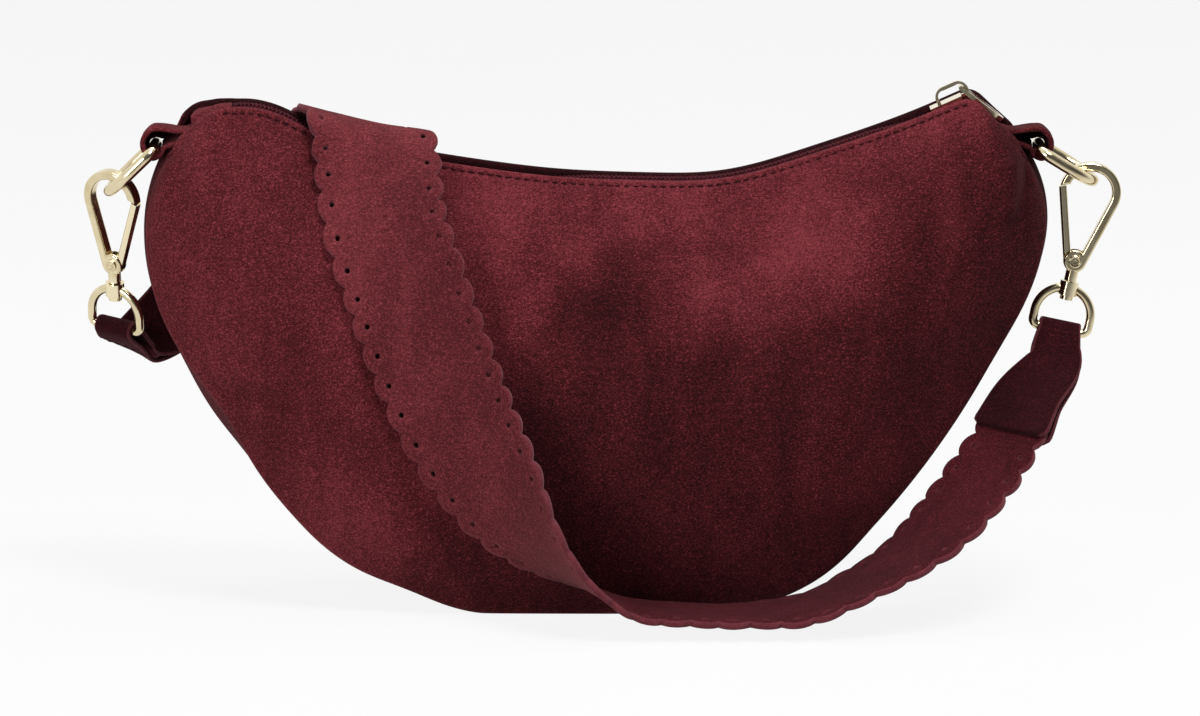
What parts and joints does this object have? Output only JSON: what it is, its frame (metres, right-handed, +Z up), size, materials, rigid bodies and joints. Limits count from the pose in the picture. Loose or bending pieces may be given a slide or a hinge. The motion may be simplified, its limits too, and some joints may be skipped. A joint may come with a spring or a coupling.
{
  "type": "half moon shoulder bag",
  "caption": "Crescent-shaped soft suede shoulder bag with a zipped concave top, side rings with trigger hooks and a wide draped strap",
  "frame": {"origin": "centre of the flat base, on the surface the bag stands on", "axes": "+X to the right end with the zip slider, -Y to the front where the strap lies, +Z up"},
  "size_m": [0.3718, 0.131, 0.1873],
  "materials": {
    "suede": "napped burgundy suede",
    "strap_suede": "napped burgundy suede",
    "lining": "plain woven cloth",
    "zip_tape": "woven tape",
    "zip_coil": "moulded coil",
    "pale_gold": "polished pale gold plate",
    "spring_steel": "bright"
  },
  "bodies": {
    "bag": {"back_lining": "lining", "back_panel": "suede", "back_zip_coil": "zip_coil", "back_zip_tape": "zip_tape", "bottom_gusset": "suede", "front_lining": "lining", "front_panel": "suede", "front_zip_coil": "zip_coil", "front_zip_tape": "zip_tape", "gusset_lining": "lining", "inner_pocket": "lining", "left_ring_tab": "suede", "left_strap_tab": "strap_suede", "left_zip_end_patch": "suede", "right_ring_tab": "suede", "right_strap_tab": "strap_suede", "right_zip_end_patch": "suede", "strap": "strap_suede"},
    "slider": {"zip_slider": "pale_gold"},
    "pull": {"zip_pull": "pale_gold"},
    "left_ring": {"left_side_ring": "pale_gold"},
    "left_eye": {"left_strap_eye": "pale_gold"},
    "left_hook": {"left_hook_body": "pale_gold", "left_gate_rivet": "pale_gold", "left_gate_spring": "spring_steel", "left_swivel_stud": "pale_gold"},
    "left_gate": {"left_hook_gate": "pale_gold"},
    "right_ring": {"right_side_ring": "pale_gold"},
    "right_eye": {"right_strap_eye": "pale_gold"},
    "right_hook": {"right_hook_body": "pale_gold", "right_gate_rivet": "pale_gold", "right_gate_spring": "spring_steel", "right_swivel_stud": "pale_gold"},
    "right_gate": {"right_hook_gate": "pale_gold"}
  },
  "joints": [
    {"name": "zip_slider_travel", "type": "hinge", "parent": "bag", "child": "slider", "pos_m": [0, 0, 0.4578], "axis": [0, 1, 0], "range_deg": [0, 32], "deforming": ["front_zip_tape", "back_zip_tape", "front_zip_coil", "back_zip_coil"]},
    {"name": "zip_pull_swing", "type": "hinge", "parent": "slider", "child": "pull", "pos_m": [0.12979, 0, 0.18502], "axis": [0, -1, 0], "range_deg": [0, 100]},
    {"name": "left_ring_swing", "type": "hinge", "parent": "bag", "child": "left_ring", "pos_m": [-0.15808, 0, 0.16361], "axis": [0, 1, 0], "range_deg": [-8, 0]},
    {"name": "left_eye_swing", "type": "hinge", "parent": "bag", "child": "left_eye", "pos_m": [-0.1739, 0.01869, 0.09482], "axis": [0.8734, -0.4705, -0.1261], "range_deg": [-1.5, 1.5]},
    {"name": "left_hook_swivel", "type": "hinge", "parent": "left_eye", "child": "left_hook", "pos_m": [-0.1739, 0.01471, 0.10969], "axis": [0, -0.2588, 0.9659], "range_deg": [-12, 12]},
    {"name": "left_gate_swing", "type": "hinge", "parent": "left_hook", "child": "left_gate", "pos_m": [-0.1739, 0.01209, 0.11945], "axis": [-0.4871, -0.8436, -0.226], "range_deg": [0, 25], "stiffness_Nm_per_rad": 0.01, "springref_deg": -11.46},
    {"name": "right_ring_swing", "type": "hinge", "parent": "bag", "child": "right_ring", "pos_m": [0.15808, 0, 0.16361], "axis": [0, -1, 0], "range_deg": [-18, 0]},
    {"name": "right_eye_swing", "type": "hinge", "parent": "bag", "child": "right_eye", "pos_m": [0.1659, 0, 0.09734], "axis": [0.9781, 0, -0.2079], "range_deg": [-2.5, 2.5]},
    {"name": "right_hook_swivel", "type": "hinge", "parent": "right_eye", "child": "right_hook", "pos_m": [0.1691, 0, 0.1124], "axis": [0.2079, 0, 0.9781], "range_deg": [-12, 12]},
    {"name": "right_gate_swing", "type": "hinge", "parent": "right_hook", "child": "right_gate", "pos_m": [0.1712, 0, 0.12228], "axis": [0, 1, 0], "range_deg": [0, 25], "stiffness_Nm_per_rad": 0.01, "springref_deg": -11.46}
  ]
}
